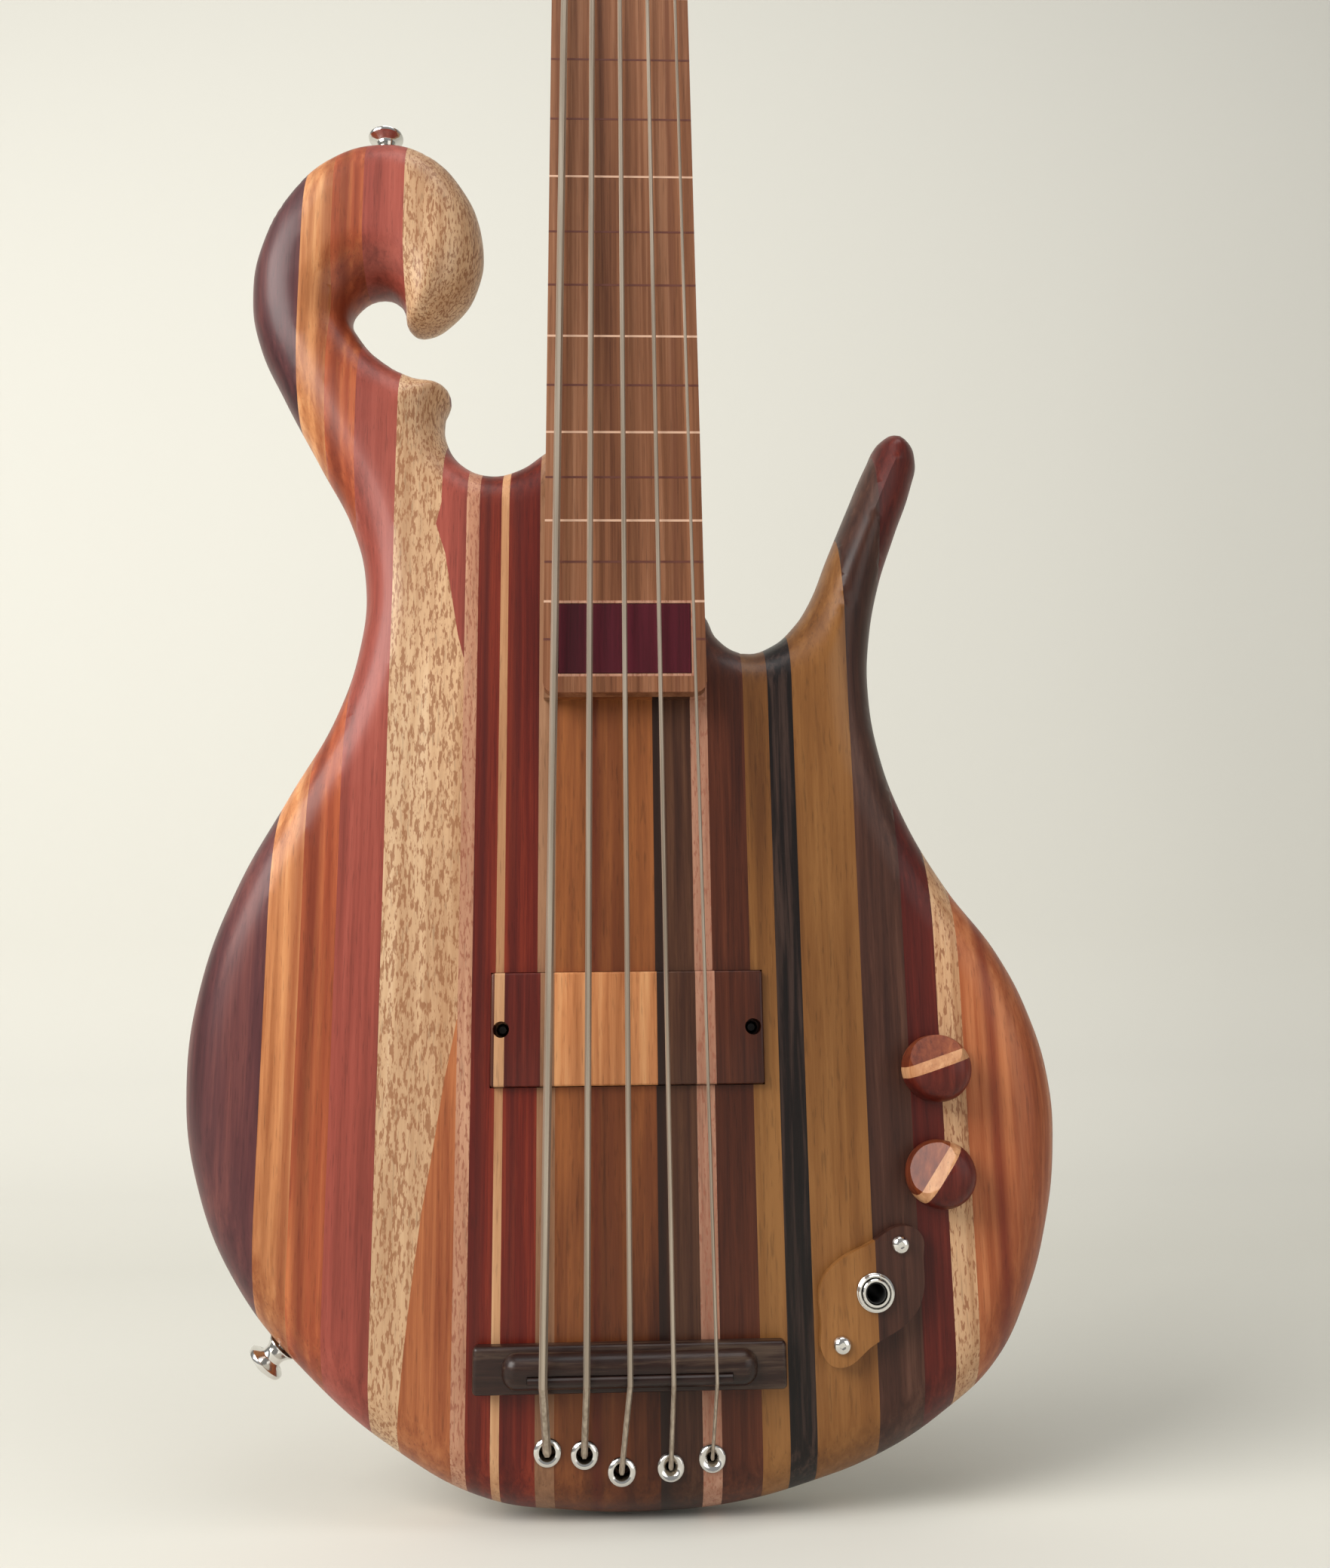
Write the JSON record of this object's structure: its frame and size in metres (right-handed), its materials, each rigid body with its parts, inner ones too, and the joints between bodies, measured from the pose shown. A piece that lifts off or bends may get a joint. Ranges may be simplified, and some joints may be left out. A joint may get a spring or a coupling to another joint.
{
  "type": "electric bass guitar",
  "caption": "Five-string electric bass guitar with a carved, laminated wooden body, a scrolled upper horn, wooden bridge, pickup cover and knobs, and open-geared tuners.",
  "frame": {"origin": "lowest point of the body, on the centre line of the neck and halfway through the body's thickness", "axes": "+Z along the neck towards the headstock, -Y out of the front with the strings, +X towards the thinnest string"},
  "size_m": [0.3177, 0.0627, 1.1401],
  "materials": {
    "rust_wood": "gloss lacquer",
    "amber_wood": "gloss lacquer",
    "crimson_wood": "gloss lacquer",
    "pale_wood": "gloss lacquer",
    "grey_wood": "gloss lacquer",
    "orange_wood": "gloss lacquer",
    "dark_wood": "gloss lacquer",
    "brown_wood": "gloss lacquer",
    "olive_wood": "gloss lacquer",
    "black_wood": "gloss lacquer",
    "board_wood": "oiled, satin",
    "purple_inlay": "satin",
    "bone": "satin bone",
    "chrome_plate": "polished",
    "steel": "brushed",
    "brass": "plain",
    "black_plastic": "matt",
    "red_insulation": "satin"
  },
  "bodies": {
    "guitar": {"bass_wing": "rust_wood", "crimson_strip": "crimson_wood", "neck_grey_strip": "grey_wood", "neck_core": "orange_wood", "neck_dark_strip": "dark_wood", "neck_pale_strip": "pale_wood", "brown_strip": "brown_wood", "olive_strip": "olive_wood", "ebony_strip": "black_wood", "treble_wing": "amber_wood", "headstock_wing_bass": "crimson_wood", "headstock_wing_treble": "crimson_wood", "fingerboard": "board_wood", "heel_inlay": "purple_inlay", "nut": "bone", "truss_rod": "steel", "bridge": "black_wood", "saddle": "black_wood", "pickup_cover": "rust_wood", "pickup_coil": "black_plastic", "pickup_screw_bass": "chrome_plate", "pickup_screw_treble": "chrome_plate", "volume_potentiometer": "steel", "tone_potentiometer": "steel", "jack_plate": "olive_wood", "jack_socket": "chrome_plate", "jack_nut": "chrome_plate", "jack_plate_screw_upper": "chrome_plate", "jack_plate_screw_lower": "chrome_plate", "control_cover": "brown_wood", "wiring": "red_insulation", "strap_button_upper": "chrome_plate", "strap_button_lower": "chrome_plate", "tuner_plate_bass": "chrome_plate", "tuner_plate_treble": "chrome_plate", "string_b": "steel", "string_ferrule_b": "chrome_plate", "string_e": "steel", "string_ferrule_e": "chrome_plate", "string_a": "steel", "string_ferrule_a": "chrome_plate", "string_d": "steel", "string_ferrule_d": "chrome_plate", "string_g": "steel", "string_ferrule_g": "chrome_plate"},
    "post_b": {"tuner_post_b": "chrome_plate"},
    "key_b": {"tuner_button_b": "chrome_plate"},
    "post_e": {"tuner_post_e": "chrome_plate"},
    "key_e": {"tuner_button_e": "chrome_plate"},
    "post_a": {"tuner_post_a": "chrome_plate"},
    "key_a": {"tuner_button_a": "chrome_plate"},
    "post_d": {"tuner_post_d": "chrome_plate"},
    "key_d": {"tuner_button_d": "chrome_plate"},
    "post_g": {"tuner_post_g": "chrome_plate"},
    "key_g": {"tuner_button_g": "chrome_plate"},
    "volume_control": {"volume_knob": "amber_wood", "volume_shaft": "brass"},
    "tone_control": {"tone_knob": "amber_wood", "tone_shaft": "brass"}
  },
  "joints": [
    {"name": "key_b_turn", "type": "hinge", "parent": "guitar", "child": "key_b", "pos_m": [-0.027, 0.00353, 0.98047], "axis": [-1, 0, 0], "range_deg": [-720, 720]},
    {"name": "post_b_turn", "type": "hinge", "parent": "guitar", "child": "post_b", "pos_m": [-0.027, -0.01601, 0.9963], "axis": [0, -0.9848, 0.1736], "range_deg": [-36, 36]},
    {"name": "key_e_turn", "type": "hinge", "parent": "guitar", "child": "key_e", "pos_m": [-0.027, 0.011, 1.02281], "axis": [-1, 0, 0], "range_deg": [-720, 720]},
    {"name": "post_e_turn", "type": "hinge", "parent": "guitar", "child": "post_e", "pos_m": [-0.027, -0.00855, 1.03865], "axis": [0, -0.9848, 0.1736], "range_deg": [-36, 36]},
    {"name": "key_a_turn", "type": "hinge", "parent": "guitar", "child": "key_a", "pos_m": [-0.027, 0.01847, 1.06516], "axis": [-1, 0, 0], "range_deg": [-720, 720]},
    {"name": "post_a_turn", "type": "hinge", "parent": "guitar", "child": "post_a", "pos_m": [-0.027, -0.00108, 1.08099], "axis": [0, -0.9848, 0.1736], "range_deg": [-36, 36]},
    {"name": "key_d_turn", "type": "hinge", "parent": "guitar", "child": "key_d", "pos_m": [0.027, 0.01343, 1.0366], "axis": [1, 0, 0], "range_deg": [-720, 720]},
    {"name": "post_d_turn", "type": "hinge", "parent": "guitar", "child": "post_d", "pos_m": [0.027, -0.00611, 1.05244], "axis": [0, -0.9848, 0.1736], "range_deg": [-36, 36]},
    {"name": "key_g_turn", "type": "hinge", "parent": "guitar", "child": "key_g", "pos_m": [0.027, 0.00562, 0.99228], "axis": [1, 0, 0], "range_deg": [-720, 720]},
    {"name": "post_g_turn", "type": "hinge", "parent": "guitar", "child": "post_g", "pos_m": [0.027, -0.01393, 1.00812], "axis": [0, -0.9848, 0.1736], "range_deg": [-36, 36]},
    {"name": "volume_turn", "type": "hinge", "parent": "guitar", "child": "volume_control", "pos_m": [0.1095, -0.02, 0.1485], "axis": [0, -1, 0], "range_deg": [-150, 150]},
    {"name": "tone_turn", "type": "hinge", "parent": "guitar", "child": "tone_control", "pos_m": [0.109, -0.02, 0.1123], "axis": [0, -1, 0], "range_deg": [-150, 150]}
  ],
  "couplings": [
    {"joint": "post_b_turn", "follows": "key_b_turn", "ratio": 0.05},
    {"joint": "post_e_turn", "follows": "key_e_turn", "ratio": 0.05},
    {"joint": "post_a_turn", "follows": "key_a_turn", "ratio": 0.05},
    {"joint": "post_d_turn", "follows": "key_d_turn", "ratio": 0.05},
    {"joint": "post_g_turn", "follows": "key_g_turn", "ratio": 0.05}
  ]
}
